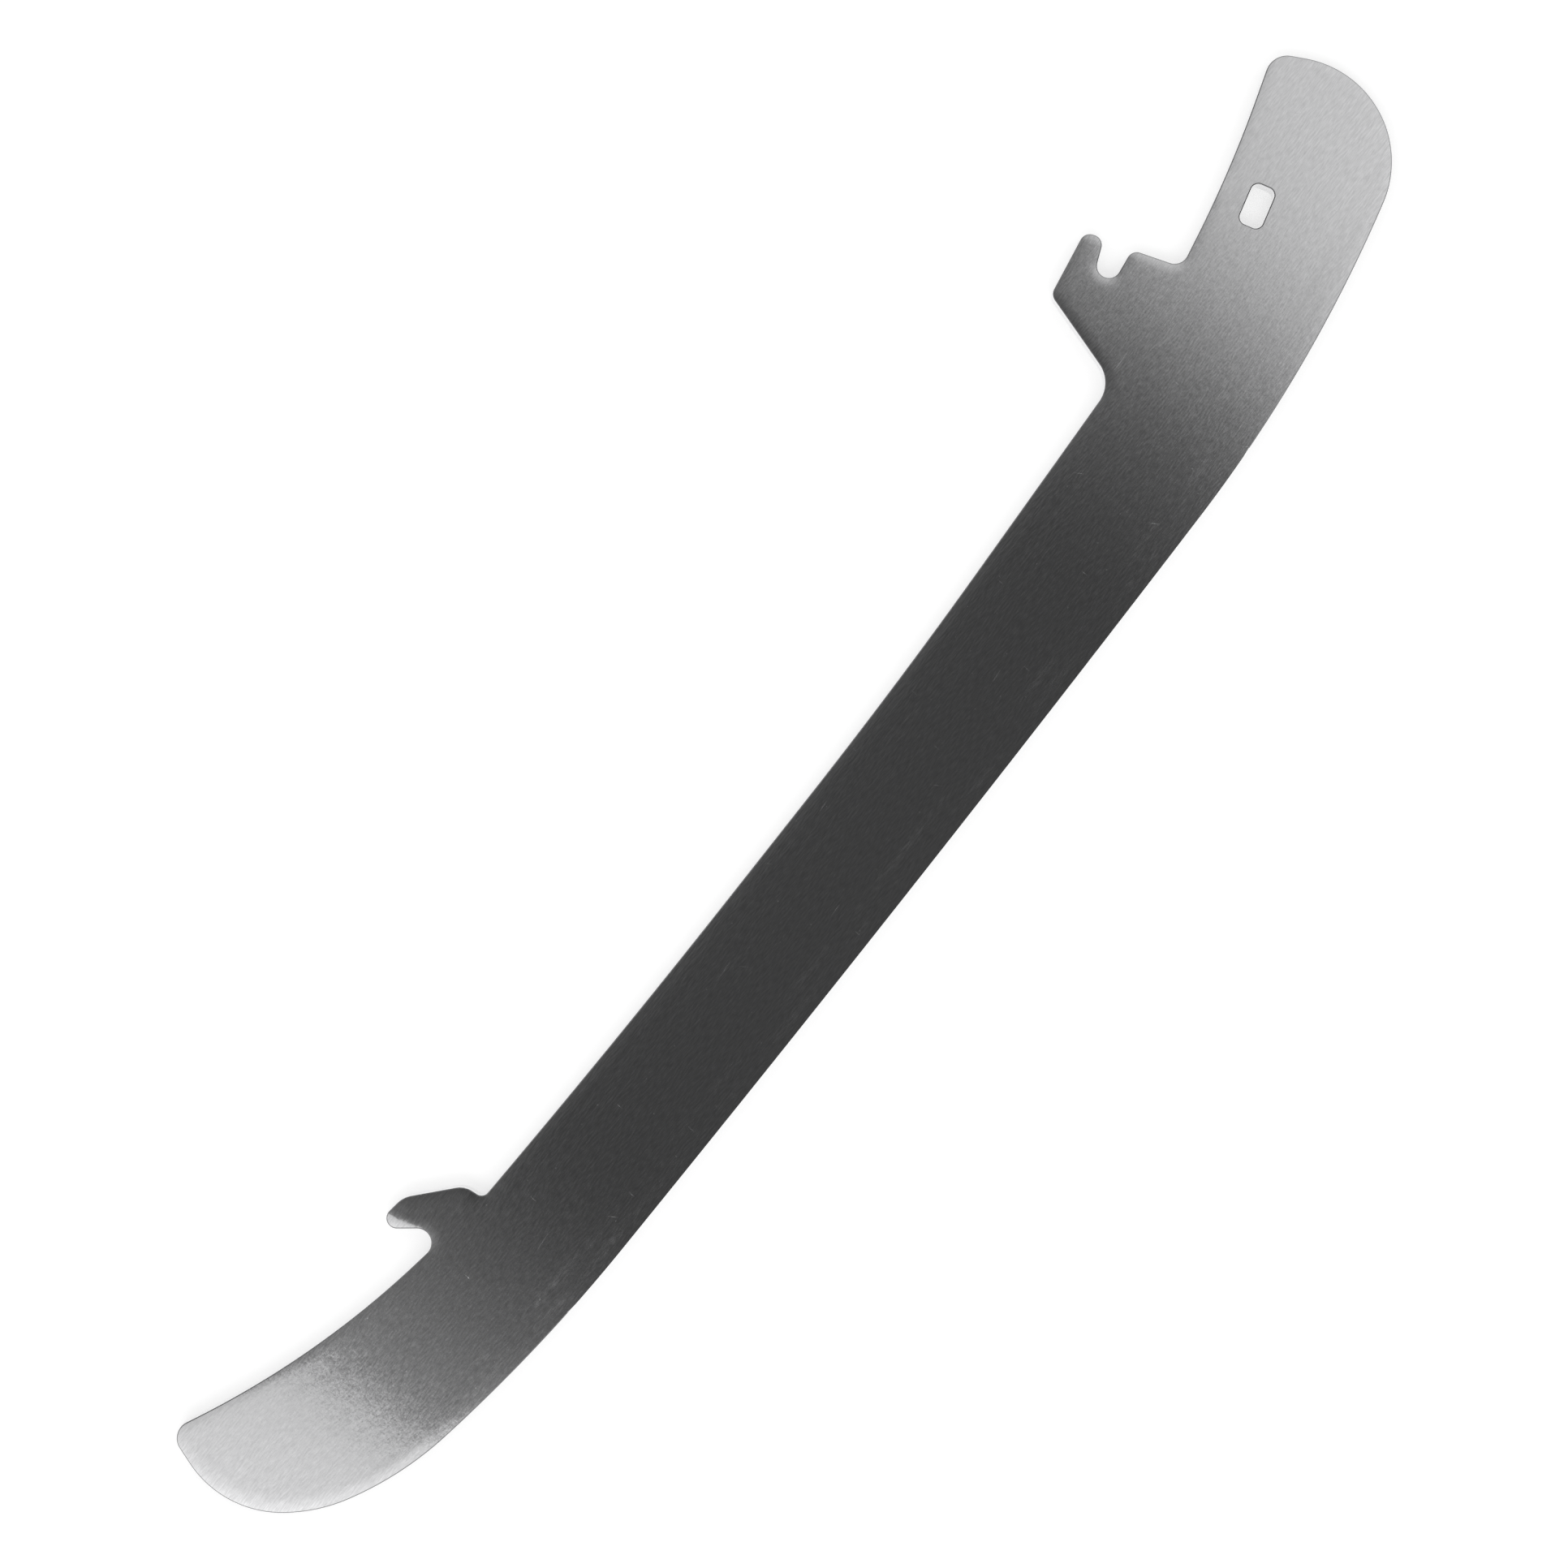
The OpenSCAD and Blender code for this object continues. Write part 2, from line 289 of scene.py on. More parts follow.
@dataclass(frozen=True)
class Profile:
    """The runner's outline: the ice side as arcs, the boot side as rounded corners, and the window.

    Distances along the runner are taken from the toe end or the heel end, and heights from the ice line.
    """

    length: float = 263.0
    rocker: float = 4572.0
    toe: Sweep = Sweep((Arc(250.0, 9.4), Arc(50.0, 28.5), Arc(24.4, 52.0), Arc(16.0, 108.5)))
    heel: Sweep = Sweep((Arc(215.0, 15.0), Arc(15.2, 118.0)))
    # Below this height the edges are ground sharp, and below this lean a wall faces the ice
    ground_up: float = 1.0
    ice_lean: float = 0.25
    # The heel's upper edge and the back of the post
    heel_tip_up: float = 33.9
    heel_tip_round: float = 3.2
    heel_brow: EndCorner = EndCorner(21.5, 28.1, 180.0)
    rear_foot: EndCorner = EndCorner(36.7, 25.0, 2.1)
    shelf: EndCorner = EndCorner(39.2, 32.2, 1.5)
    # The notch's round seat, the heel hook and the front of the post
    notch_seat: EndCorner = EndCorner(43.1, 33.4, 1.75)
    hook_lip: EndCorner = EndCorner(40.3, 36.5, 1.5)
    hook_top: EndCorner = EndCorner(41.5, 39.2, 1.5)
    post_crown: EndCorner = EndCorner(51.6, 37.4, 1.6)
    post_foot: EndCorner = EndCorner(56.1, 22.5, 4.7)
    # The waist, whose bends are measured from the middle of the runner
    waist_up: float = 19.9
    waist_heel_bend: float = 21.0
    waist_heel_round: float = 870.0
    waist_toe_bend: float = 44.5
    waist_toe_round: float = 1600.0
    # The toe hook with its seat, and the toe's upper edge
    toe_foot: EndCorner = EndCorner(57.4, 20.9, 1.2)
    toe_shoulder: EndCorner = EndCorner(57.1, 24.1, 3.3)
    toe_crown: EndCorner = EndCorner(50.3, 30.1, 4.0)
    toe_hook: EndCorner = EndCorner(43.9, 30.9, 1.5)
    toe_seat: EndCorner = EndCorner(51.3, 21.6, 2.1)
    toe_brow: EndCorner = EndCorner(24.0, 25.6, 134.0)
    toe_tip_up: float = 35.8
    toe_tip_round: float = 2.6
    # The window through the heel
    window_in: float = 23.0
    window_up: float = 21.9
    window_length: float = 6.3
    window_width: float = 3.6
    window_round: float = 1.15
    window_tilt: float = 15.0
    facet_error: float = 0.0015

    @property
    def half(self) -> float:
        """Half of the runner's length."""
        return self.length / 2

    @property
    def window_centre(self) -> Vector:
        """Middle of the window."""
        return Vector((self.half - self.window_in, self.window_up, 0.0))

    def faces_ice(self, middle: Vector, normal: Vector) -> bool:
        """Whether a wall with that middle and normal is part of the ice side."""
        outer = middle.y < self.waist_up or abs(middle.x) > self.half - self.heel.last.radius / 2
        return outer and normal.y < self.ice_lean

    def from_toe(self, corner: EndCorner) -> Corner:
        """A corner that is measured from the toe end."""
        return Corner(corner.inward - self.half, corner.up, corner.radius)

    def from_heel(self, corner: EndCorner) -> Corner:
        """A corner that is measured from the heel end."""
        return Corner(self.half - corner.inward, corner.up, corner.radius)

    def ice_arcs(self) -> list[tuple[float, float]]:
        """Lists the ice side's arcs from the toe's nose to the end of the heel's round.

        Returns:
            Each arc's radius and the heading at which it ends, in radians.
        """
        toe_leaves = -self.toe.start_slope(self.rocker, self.half)
        heel_leaves = self.heel.start_slope(self.rocker, self.half)
        toe_ends = [-math.radians(arc.slope) for arc in self.toe.arcs[-2::-1]] + [toe_leaves]
        arcs = [(arc.radius, end) for arc, end in zip(self.toe.arcs[::-1], toe_ends)]
        arcs.append((self.rocker, heel_leaves))
        arcs.extend((arc.radius, math.radians(arc.slope)) for arc in self.heel.arcs)
        return arcs

    def nose_start(self, arcs: list[tuple[float, float]]) -> tuple[Vector, float]:
        """Finds where the toe's nose begins.

        Args:
            arcs: The ice side's arcs.

        Returns:
            The point, and the heading there in radians.
        """
        heading = -math.radians(self.toe.last.slope)
        x = self.toe.last.radius * (1 + math.sin(heading)) - self.half
        drop = 0.0
        before = heading
        for radius, end in arcs:
            after = min(end, 0.0)
            drop += radius * (math.cos(after) - math.cos(before))
            before = after
            if end >= 0:
                break
        return Vector((x, drop, 0.0)), heading

    def tip(self, point: Vector, heading: float, up: float) -> Vector:
        """The point at a given height on the straight line through a point."""
        return point + Vector((1 / math.tan(heading), 1.0, 0.0)) * (up - point.y)

    def notch_corner(self, shelf: Corner, lip: Corner) -> Corner:
        """Finds where the notch's two sides would meet, past the round seat that both of them touch.

        Args:
            shelf: The corner that its lower side comes from.
            lip: The corner that its upper side comes from.

        Returns:
            The corner, with the seat's radius.
        """
        seat = self.from_heel(self.notch_seat)
        ways = []
        for corner, side in ((shelf, 1), (lip, -1)):
            gap = seat.point - corner.point
            turn = Matrix.Rotation(side * math.asin(seat.radius / gap.length), 3, "Z")
            ways.append(turn @ gap)
        share = (lip.point - shelf.point).cross(ways[1]).z / ways[0].cross(ways[1]).z
        meet = shelf.point + ways[0] * share
        return Corner(meet.x, meet.y, seat.radius)

    def boot_corners(self, heel_end: Vector, nose: Vector) -> list[Corner]:
        """Lists the boot side's corners from the heel's round to the toe's nose.

        Args:
            heel_end: Where the heel's round ends.
            nose: Where the toe's nose begins.

        Returns:
            The corners in order, with the nose last.
        """
        heel_tip = self.tip(heel_end, math.radians(self.heel.last.slope), self.heel_tip_up)
        toe_tip = self.tip(nose, -math.radians(self.toe.last.slope), self.toe_tip_up)
        shelf = self.from_heel(self.shelf)
        hook_lip = self.from_heel(self.hook_lip)
        return [
            Corner(heel_tip.x, heel_tip.y, self.heel_tip_round),
            self.from_heel(self.heel_brow),
            self.from_heel(self.rear_foot),
            shelf,
            self.notch_corner(shelf, hook_lip),
            hook_lip,
            self.from_heel(self.hook_top),
            self.from_heel(self.post_crown),
            self.from_heel(self.post_foot),
            Corner(self.waist_heel_bend, self.waist_up, self.waist_heel_round),
            Corner(-self.waist_toe_bend, self.waist_up, self.waist_toe_round),
            self.from_toe(self.toe_foot),
            self.from_toe(self.toe_shoulder),
            self.from_toe(self.toe_crown),
            self.from_toe(self.toe_hook),
            self.from_toe(self.toe_seat),
            self.from_toe(self.toe_brow),
            Corner(toe_tip.x, toe_tip.y, self.toe_tip_round),
            Corner(nose.x, nose.y),
        ]

    def scribe(self, mesh: bmesh.types.BMesh) -> None:
        """Draws the outline and the window as two closed chains of edges.

        Args:
            mesh: The empty mesh that they are drawn in.
        """
        arcs = self.ice_arcs()
        nose, heading = self.nose_start(arcs)
        pen = Scriber(mesh, nose, heading, self.facet_error)
        for radius, end in arcs:
            pen.arc(radius, end - pen.heading)
        corners = self.boot_corners(pen.place, nose)
        for corner, after in zip(corners, corners[1:]):
            pen.rounded(corner, after.point)
        pen.straight(nose)
        self.scribe_window(mesh)
        bmesh.ops.remove_doubles(mesh, verts=mesh.verts, dist=SAME_POINT)

    def scribe_window(self, mesh: bmesh.types.BMesh) -> None:
        """Draws the window, from the middle of its lower side round to the same point.

        Args:
            mesh: The mesh with the outline.
        """
        tilt = Matrix.Rotation(math.radians(self.window_tilt), 3, "Z")
        long, short = self.window_length / 2, self.window_width / 2
        corners = []
        for along, aside in ((long, -short), (long, short), (-long, short), (-long, -short), (0.0, -short)):
            spot = self.window_centre + tilt @ Vector((along, aside, 0.0))
            corners.append(Corner(spot.x, spot.y, self.window_round))
        pen = Scriber(mesh, corners[-1].point, math.radians(self.window_tilt), self.facet_error)
        for corner, after in zip(corners, corners[1:]):
            pen.rounded(corner, after.point)
        pen.straight(corners[-1].point)


@dataclass(frozen=True)
class Grain:
    """Marks in the steel: how far each reaches along X, Y and Z, and how deep they are, in micrometres.

    The detail is the number of layers of finer marks on them.
    """

    along: float
    aside: float
    upright: float
    depth: float
    detail: float = 2.0

    def pattern(self, tree: Tree, place: Socket) -> Socket:
        """Adds the marks to a material.

        Args:
            tree: The material's node tree.
            place: Where on the runner the surface is.

        Returns:
            The marks, from 0 at their floor to 1 at their top.
        """
        spread = add_node(tree, "ShaderNodeMapping", {
            "Vector": place, "Scale": (across(self.along), across(self.aside), across(self.upright)),
        }).outputs["Vector"]
        return add_node(tree, "ShaderNodeTexNoise", {
            "Vector": spread, "Scale": 1.0, "Detail": self.detail,
        }).outputs["Fac"]


@dataclass(frozen=True)
class Scratches:
    """Scratches of one length, width and direction, at most one in each square of the surface.

    The spacing is the side of such a square, and the share is how many of the squares have a scratch.
    """

    length: float
    width: float
    turn: float
    spacing: float
    share: float

    def pattern(self, tree: Tree, place: Socket) -> Socket:
        """Adds the scratches to a material.

        Args:
            tree: The material's node tree.
            place: Where on the runner the surface is.

        Returns:
            1 in the middle of a scratch, falling to 0 at its sides and ends.
        """
        turned = add_node(tree, "ShaderNodeMapping", {
            "Vector": place,
            "Rotation": (0.0, 0.0, -math.radians(self.turn)),
            "Scale": [across(self.spacing)] * 3,
        }).outputs["Vector"]
        squares = add_node(tree, "ShaderNodeTexVoronoi", {
            "Vector": turned, "Scale": 1.0,
        }, voronoi_dimensions="2D").outputs
        offset = add_node(tree, "ShaderNodeVectorMath", {
            0: turned, 1: squares["Position"],
        }, operation="SUBTRACT").outputs[0]
        reach = add_node(tree, "ShaderNodeVectorMath", {0: offset}, operation="ABSOLUTE").outputs[0]
        gaps = add_node(tree, "ShaderNodeSeparateXYZ", {"Vector": reach}).outputs
        lot = add_node(tree, "ShaderNodeSeparateColor", {"Color": squares["Color"]}).outputs[0]
        mark = add_node(tree, "ShaderNodeMath", {0: lot, 1: self.share}, operation="LESS_THAN").outputs[0]
        for gap, size in ((gaps["X"], self.length), (gaps["Y"], self.width)):
            within = add_node(tree, "ShaderNodeMapRange", {
                "Value": gap, "From Min": size / 2 / self.spacing, "From Max": 0.0,
            }).outputs[0]
            mark = add_node(tree, "ShaderNodeMath", {0: mark, 1: within}, operation="MULTIPLY").outputs[0]
        return mark


@dataclass(frozen=True)
class SteelFinish:
    """A finish of the stainless steel: two tones, two degrees of gloss and the marks of how it was made.

    The first marks carry the tones and the gloss: dark and smooth in their floor, light and rough on top.
    """

    name: str
    light: str
    dark: str
    smooth: float
    rough: float
    grains: tuple[Grain, ...]

    def material(self) -> bpy.types.Material:
        """Makes the material.

        Returns:
            The new material.
        """
        made = bpy.data.materials.new(self.name)
        made.use_nodes = True
        tree = made.node_tree
        place = add_node(tree, "ShaderNodeTexCoord").outputs["Object"]
        marks = [grain.pattern(tree, place) for grain in self.grains]
        height: float | Socket = 0.0
        for grain, mark in zip(self.grains, marks):
            height = add_node(tree, "ShaderNodeMath", {
                0: mark, 1: grain.depth, 2: height,
            }, operation="MULTIPLY_ADD").outputs[0]
        relief = add_node(tree, "ShaderNodeBump", {"Height": height, "Distance": MICRON, "Strength": 1.0})
        tone = add_node(tree, "ShaderNodeMix", {
            "Factor": marks[0], MIX_COLOUR_A: linear(self.dark), MIX_COLOUR_B: linear(self.light),
        }, data_type="RGBA")
        gloss = add_node(tree, "ShaderNodeMapRange", {
            "Value": marks[0], "To Min": self.smooth, "To Max": self.rough,
        }).outputs[0]
        shader = tree.nodes["Principled BSDF"]
        shader.inputs["Metallic"].default_value = 1.0
        tree.links.new(tone.outputs[MIX_COLOUR], shader.inputs["Base Color"])
        tree.links.new(self.worn(tree, place, gloss), shader.inputs["Roughness"])
        tree.links.new(relief.outputs["Normal"], shader.inputs["Normal"])
        return made

    def worn(self, tree: Tree, place: Socket, gloss: Socket) -> Socket:
        """Adds what handling did to the gloss, which is nothing unless a finish says so."""
        return gloss


@dataclass(frozen=True)
class GroundSide(SteelFinish):
    """Stainless steel, surface ground along its length and then lightly polished.

    It mirrors what is above it, a little blurred. Short grinding marks along the runner, a fine pebbling
    and soft strokes of the polishing belt tilt the mirror by a few thousandths, so they show where the
    reflection goes from light to dark and fade where it is even. Scratches, specks and the lines where a
    jig has rubbed scatter light, so they show in the dark part of the reflection.
    """

    name: str = "stainless_steel_ground"
    light: str = "#e4e4e5"
    dark: str = "#b5b5b6"
    smooth: float = 0.005
    rough: float = 0.12
    # The marks are drawn about twice as wide as real ones, which a pixel wouldn't show
    grains: tuple[Grain, ...] = (
        Grain(1.3, 0.24, 0.24, 4.5),
        Grain(0.42, 0.42, 0.42, 1.5),
        Grain(9.0, 1.4, 1.4, 12.0),
    )
    # The scratches and specks are drawn as wide as they need to show
    scratches: tuple[Scratches, ...] = (
        Scratches(4.5, 0.2, 4.0, 15.0, 0.5),
        Scratches(1.6, 0.2, 86.0, 9.0, 0.35),
        Scratches(2.2, 0.18, -58.0, 13.0, 0.4),
        Scratches(0.3, 0.3, 20.0, 5.0, 0.5),
    )
    scratch_haze: float = 0.16
    # Rubbed lines along the running edge: how far in, how wide, and the patches in which they show
    rub_gaps: tuple[float, ...] = (1.9, 4.2)
    rub_width: float = 2.2
    rub_patch: Grain = Grain(11.0, 5.0, 5.0, 0.0)
    rub_from: float = 0.42
    rub_to: float = 0.75
    rub_haze: float = 0.08

    def worn(self, tree: Tree, place: Socket, gloss: Socket) -> Socket:
        """Adds the scratches and the rubbed lines.

        Args:
            tree: The material's node tree.
            place: Where on the runner the surface is.
            gloss: The roughness before.

        Returns:
            The roughness after.
        """
        for scratches in self.scratches:
            gloss = add_node(tree, "ShaderNodeMath", {
                0: scratches.pattern(tree, place), 1: self.scratch_haze, 2: gloss,
            }, operation="MULTIPLY_ADD").outputs[0]
        gap = add_node(tree, "ShaderNodeAttribute", attribute_name=ICE_GAP).outputs["Fac"]
        patches = add_node(tree, "ShaderNodeMapRange", {
            "Value": self.rub_patch.pattern(tree, place),
            "From Min": self.rub_from,
            "From Max": self.rub_to,
        }).outputs[0]
        for rub_gap in self.rub_gaps:
            aside = add_node(tree, "ShaderNodeMath", {0: gap, 1: rub_gap}, operation="SUBTRACT").outputs[0]
            aside = add_node(tree, "ShaderNodeMath", {0: aside}, operation="ABSOLUTE").outputs[0]
            line = add_node(tree, "ShaderNodeMapRange", {
                "Value": aside, "From Min": self.rub_width / 2, "From Max": 0.0, "To Max": self.rub_haze,
            }, interpolation_type=Fade.SOFT.value).outputs[0]
            gloss = add_node(tree, "ShaderNodeMath", {
                0: line, 1: patches, 2: gloss,
            }, operation="MULTIPLY_ADD").outputs[0]
        return gloss


@dataclass(frozen=True)
class CutWall(SteelFinish):
    """Stainless steel as the cutting left it: fine ribs straight through the plate blur the reflection."""

    name: str = "stainless_steel_cut"
    light: str = "#cacacb"
    dark: str = "#bcbcbd"
    smooth: float = 0.16
    rough: float = 0.3
    grains: tuple[Grain, ...] = (Grain(0.3, 0.3, 3.6, 6.0),)


@dataclass(frozen=True)
class TumbledEdgePaintedShade(SteelFinish):
    """Stainless steel where tumbling broke the sharp edge, with no direction in its grain. Its tones are
    far darker than the steel's own: painted shade that draws a dark line round the eased outline.
    """

    name: str = "stainless_steel_tumbled_painted_shade"
    # Far darker than the steel's own colour: painted shade for the dark line along the eased edges
    light: str = "#868687"
    dark: str = "#6e6e6f"
    smooth: float = 0.2
    rough: float = 0.34
    grains: tuple[Grain, ...] = (Grain(0.2, 0.2, 0.2, 3.0),)


@dataclass(frozen=True)
class SharpenedEdgePaintedShade(SteelFinish):
    """Stainless steel fresh from the sharpening wheel: fine lines along the runner dim the reflection. Its
    tones are darker than the steel's own: painted shade that sets the running edge off against the white
    floor.
    """

    name: str = "stainless_steel_sharpened_painted_shade"
    # Darker than the steel's own colour: painted shade that sets the running edge off against the white
    # floor
    light: str = "#b0b0b1"
    dark: str = "#949495"
    smooth: float = 0.14
    rough: float = 0.26
    # The lines are drawn about three times as wide as real ones, which a pixel wouldn't show
    grains: tuple[Grain, ...] = (Grain(9.0, 0.14, 0.14, 3.0),)


@dataclass(frozen=True)
class RollOff:
    """How a side falls away towards an edge: over which width, to which slope, and how late it sets in."""

    width: float
    slope: float
    power: float

    def drop(self, gap: float) -> float:
        """How far the side has fallen at a distance from the edge, in millimetres."""
        left = max(0.0, 1 - gap / self.width)
        return self.slope * self.width / (self.power + 1) * left ** (self.power + 1)


@dataclass
class SteelRunner:
    """The runner: one plate, cut to its outline, eased along its edges and hollow along its rocker."""

    profile: Profile
    thickness: float
    edge_break: float = 0.14
    # The sides fall away towards the edges, where polishing takes off more, and most under the toe
    boot_roll: RollOff = RollOff(2.3, 0.029, 2.0)
    ice_roll: RollOff = RollOff(2.1, 0.008, 1.0)
    toe_roll: RollOff = RollOff(2.1, 0.029, 0.6)
    toe_roll_from: float = -80.0
    toe_roll_to: float = -108.0
    # The toe hook's tip is dressed to lead it into the holder: from where, how turned and on what radius
    lead_in: Corner = Corner(-83.0, 28.1, 42.0)
    lead_turn: float = 186.0
    lead_bend: float = 1.5
    lead_reach: float = 3.1
    lead_step: float = 0.35
    # The sides are divided into rings along their edges, and into squares within them
    rings: tuple[float, ...] = (0.2, 0.3, 0.35, 0.35)
    grid: float = 0.6
    grid_snap: float = 0.03
    # The hollow lies between two lands
    hollow_radius: float = 12.7
    hollow_land: float = 0.1
    hollow_strips: int = 8

    @property
    def half_thickness(self) -> float:
        """Half of the plate's thickness."""
        return self.thickness / 2

    @property
    def lead_way(self) -> Vector:
        """The direction in which the toe hook's tip falls away."""
        return Matrix.Rotation(math.radians(self.lead_turn), 3, "Z") @ AXIS_X

    def build(self) -> bpy.types.Object:
        """Builds the runner's mesh.

        Returns:
            The runner's object, at the origin.
        """
        mesh = bmesh.new()
        self.profile.scribe(mesh)
        bmesh.ops.triangle_fill(mesh, use_beauty=True, edges=mesh.edges[:], normal=AXIS_Z)
        bmesh.ops.dissolve_limit(mesh, angle_limit=FLAT, verts=[], edges=mesh.edges[:])
        self.thicken(mesh)
        outer = self.walls(mesh, self.is_outer)
        ice = self.walls(mesh, self.is_ice)
        self.ease(mesh)
        self.mark_regions(mesh)
        self.grind_hollow(mesh)
        self.divide_sides(mesh)
        self.divide_hook(mesh)
        self.measure_ice_gap(mesh, ice)
        self.roll_off(mesh, outer)
        self.mark_creases(mesh)
        data = bpy.data.meshes.new("runner_plate")
        mesh.to_mesh(data)
        mesh.free()
        piece = bpy.data.objects.new("runner_plate", data)
        bpy.context.scene.collection.objects.link(piece)
        return piece

    def thicken(self, mesh: bmesh.types.BMesh) -> None:
        """Makes the flat shape a plate, half of it on each side of the middle plane.

        Args:
            mesh: The flat shape.
        """
        raised = bmesh.ops.extrude_face_region(mesh, geom=mesh.faces[:], use_keep_orig=True)
        top = [v for v in raised["geom"] if isinstance(v, bmesh.types.BMVert)]
        bmesh.ops.translate(mesh, verts=top, vec=AXIS_Z * self.thickness * MM)
        bmesh.ops.translate(mesh, verts=mesh.verts[:], vec=AXIS_Z * self.half_thickness * -MM)
        bmesh.ops.recalc_face_normals(mesh, faces=mesh.faces[:])

    def is_wall(self, face: bmesh.types.BMFace) -> bool:
        """Whether a face stands upright between the two sides."""
        return abs(face.normal.z) < UPRIGHT

    def is_outer(self, face: bmesh.types.BMFace) -> bool:
        """Whether a face is a wall along the outline, and not in the window."""
        gap = face.calc_center_median().xy / MM - self.profile.window_centre.xy
        return self.is_wall(face) and gap.length > self.profile.window_length

    def is_ice(self, face: bmesh.types.BMFace) -> bool:
        """Whether a face is a wall of the ice side."""
        return self.is_wall(face) and self.profile.faces_ice(face.calc_center_median() / MM, face.normal)

    def walls(self, mesh: bmesh.types.BMesh, wanted: Callable[[bmesh.types.BMFace], bool]) -> BVHTree:
        """Keeps some of the plate's walls to measure from.

        Args:
            mesh: The plate before its edges are eased.
            wanted: Whether a face is one of the walls.

        Returns:
            The walls as a tree that finds the nearest point.
        """
        corners = []
        faces = []
        for face in filter(wanted, mesh.faces):
            faces.append(range(len(corners), len(corners) + len(face.verts)))
            corners.extend(v.co.copy() for v in face.verts)
        return BVHTree.FromPolygons(corners, faces)

    def is_eased(self, edge: bmesh.types.BMEdge) -> bool:
        """Whether an edge lies between a side and a wall, other than the hollow, whose edges stay sharp."""
        walls = [face for face in edge.link_faces if self.is_wall(face)]
        return len(walls) == 1 and walls[0].calc_center_median().y > self.profile.ground_up * MM

    def ease(self, mesh: bmesh.types.BMesh) -> None:
        """Breaks the plate's sharp edges.

        Args:
            mesh: The plate.
        """
        bmesh.ops.bevel(
            mesh, geom=[edge for edge in mesh.edges if self.is_eased(edge)], offset=self.edge_break * MM,
            offset_type="OFFSET", affect="EDGES", segments=1, profile=0.5, material=-1, clamp_overlap=False,
        )

    def mark_regions(self, mesh: bmesh.types.BMesh) -> None:
        """Gives each face the region that it belongs to.

        Args:
            mesh: The plate with its edges eased.
        """
        for face in mesh.faces:
            face.smooth = True
            if abs(face.normal.z) > 1 - UPRIGHT:
                face.material_index = Region.SIDE
            elif not self.is_wall(face):
                face.material_index = Region.EDGE_BREAK
            elif self.is_ice(face):
                face.material_index = Region.RUNNING_EDGE
            else:
                face.material_index = Region.CUT_WALL

    def faces_of(self, mesh: bmesh.types.BMesh, region: Region) -> list[bmesh.types.BMFace]:
        """Lists the faces of a region."""
        return [face for face in mesh.faces if face.material_index == region]

    def grind_hollow(self, mesh: bmesh.types.BMesh) -> None:
        """Grinds the hollow along the rocker, which runs out where the ends lift off the ice.

        Args:
            mesh: The plate with its regions marked.
        """
        half_width = self.half_thickness - self.hollow_land
        for step in range(self.hollow_strips + 1):
            level = half_width * (2 * step / self.hollow_strips - 1)
            bmesh.ops.bisect_plane(
                mesh, geom=with_borders(self.faces_of(mesh, Region.RUNNING_EDGE)), dist=SAME_POINT,
                plane_co=AXIS_Z * level * MM, plane_no=AXIS_Z,
            )
        deepest = math.sqrt(self.hollow_radius ** 2 - half_width ** 2)
        rocker = self.profile.rocker
        ground = self.faces_of(mesh, Region.RUNNING_EDGE)
        for vert in {vert for face in ground for vert in face.verts}:
            x, y, z = vert.co / MM
            if abs(x) < self.profile.half and abs(z) < half_width:
                depth = math.sqrt(self.hollow_radius ** 2 - z ** 2) - deepest
                wheel = rocker - math.sqrt(rocker ** 2 - x ** 2) + depth
                vert.co.y = max(y, wheel) * MM

    def divide_sides(self, mesh: bmesh.types.BMesh) -> None:
        """Divides both sides into rings along the edges and squares within them, so that they can curve.

        Args:
            mesh: The plate with its regions marked.
        """
        inner = self.faces_of(mesh, Region.SIDE)
        for width in self.rings:
            bmesh.ops.inset_region(
                mesh, faces=inner, thickness=width * MM, use_boundary=True, use_even_offset=True
            )
        length = self.profile.length
        height = max(v.co.y for v in mesh.verts) / MM
        for span, start, way in ((length, -length / 2, AXIS_X), (height, 0.0, AXIS_Y)):
            for step in range(1, math.ceil(span / self.grid)):
                cut = bmesh.ops.bisect_plane(
                    mesh, geom=with_borders(inner), dist=self.grid_snap * MM,
                    plane_co=way * (start + step * self.grid) * MM, plane_no=way,
                )
                inner = [item for item in cut["geom"] if isinstance(item, bmesh.types.BMFace)]

    def lead_gap(self, spot: Vector) -> float:
        """Finds how far past the start of the toe hook's dressed tip a point lies.

        Args:
            spot: The point, in metres.

        Returns:
            The distance in millimetres, or 0 where the point isn't on the tip.
        """
        gap = spot / MM - self.lead_in.point
        if gap.y < -self.lead_reach or gap.length > 2 * self.lead_reach:
            return 0.0
        return max(0.0, gap.dot(self.lead_way))

    def divide_hook(self, mesh: bmesh.types.BMesh) -> None:
        """Divides the toe hook's tip across the way in which it falls away.

        Args:
            mesh: The plate with its sides divided.
        """
        for step in range(math.ceil(self.lead_reach / self.lead_step)):
            sides = self.faces_of(mesh, Region.SIDE)
            tip = [face for face in sides if any(self.lead_gap(v.co) for v in face.verts)]
            start = self.lead_in.point + self.lead_way * self.lead_step * step
            bmesh.ops.bisect_plane(
                mesh, geom=with_borders(tip), dist=SAME_POINT, plane_co=start * MM, plane_no=self.lead_way
            )

    def measure_ice_gap(self, mesh: bmesh.types.BMesh, ice: BVHTree) -> None:
        """Notes how far each point lies from the ice side, in millimetres, for the rubbed lines.

        Args:
            mesh: The plate with its sides divided.
            ice: The walls of the ice side.
        """
        layer = mesh.verts.layers.float.new(ICE_GAP)
        for vert in mesh.verts:
            vert[layer] = ice.find_nearest(vert.co * Vector((1, 1, 0)))[3] / MM

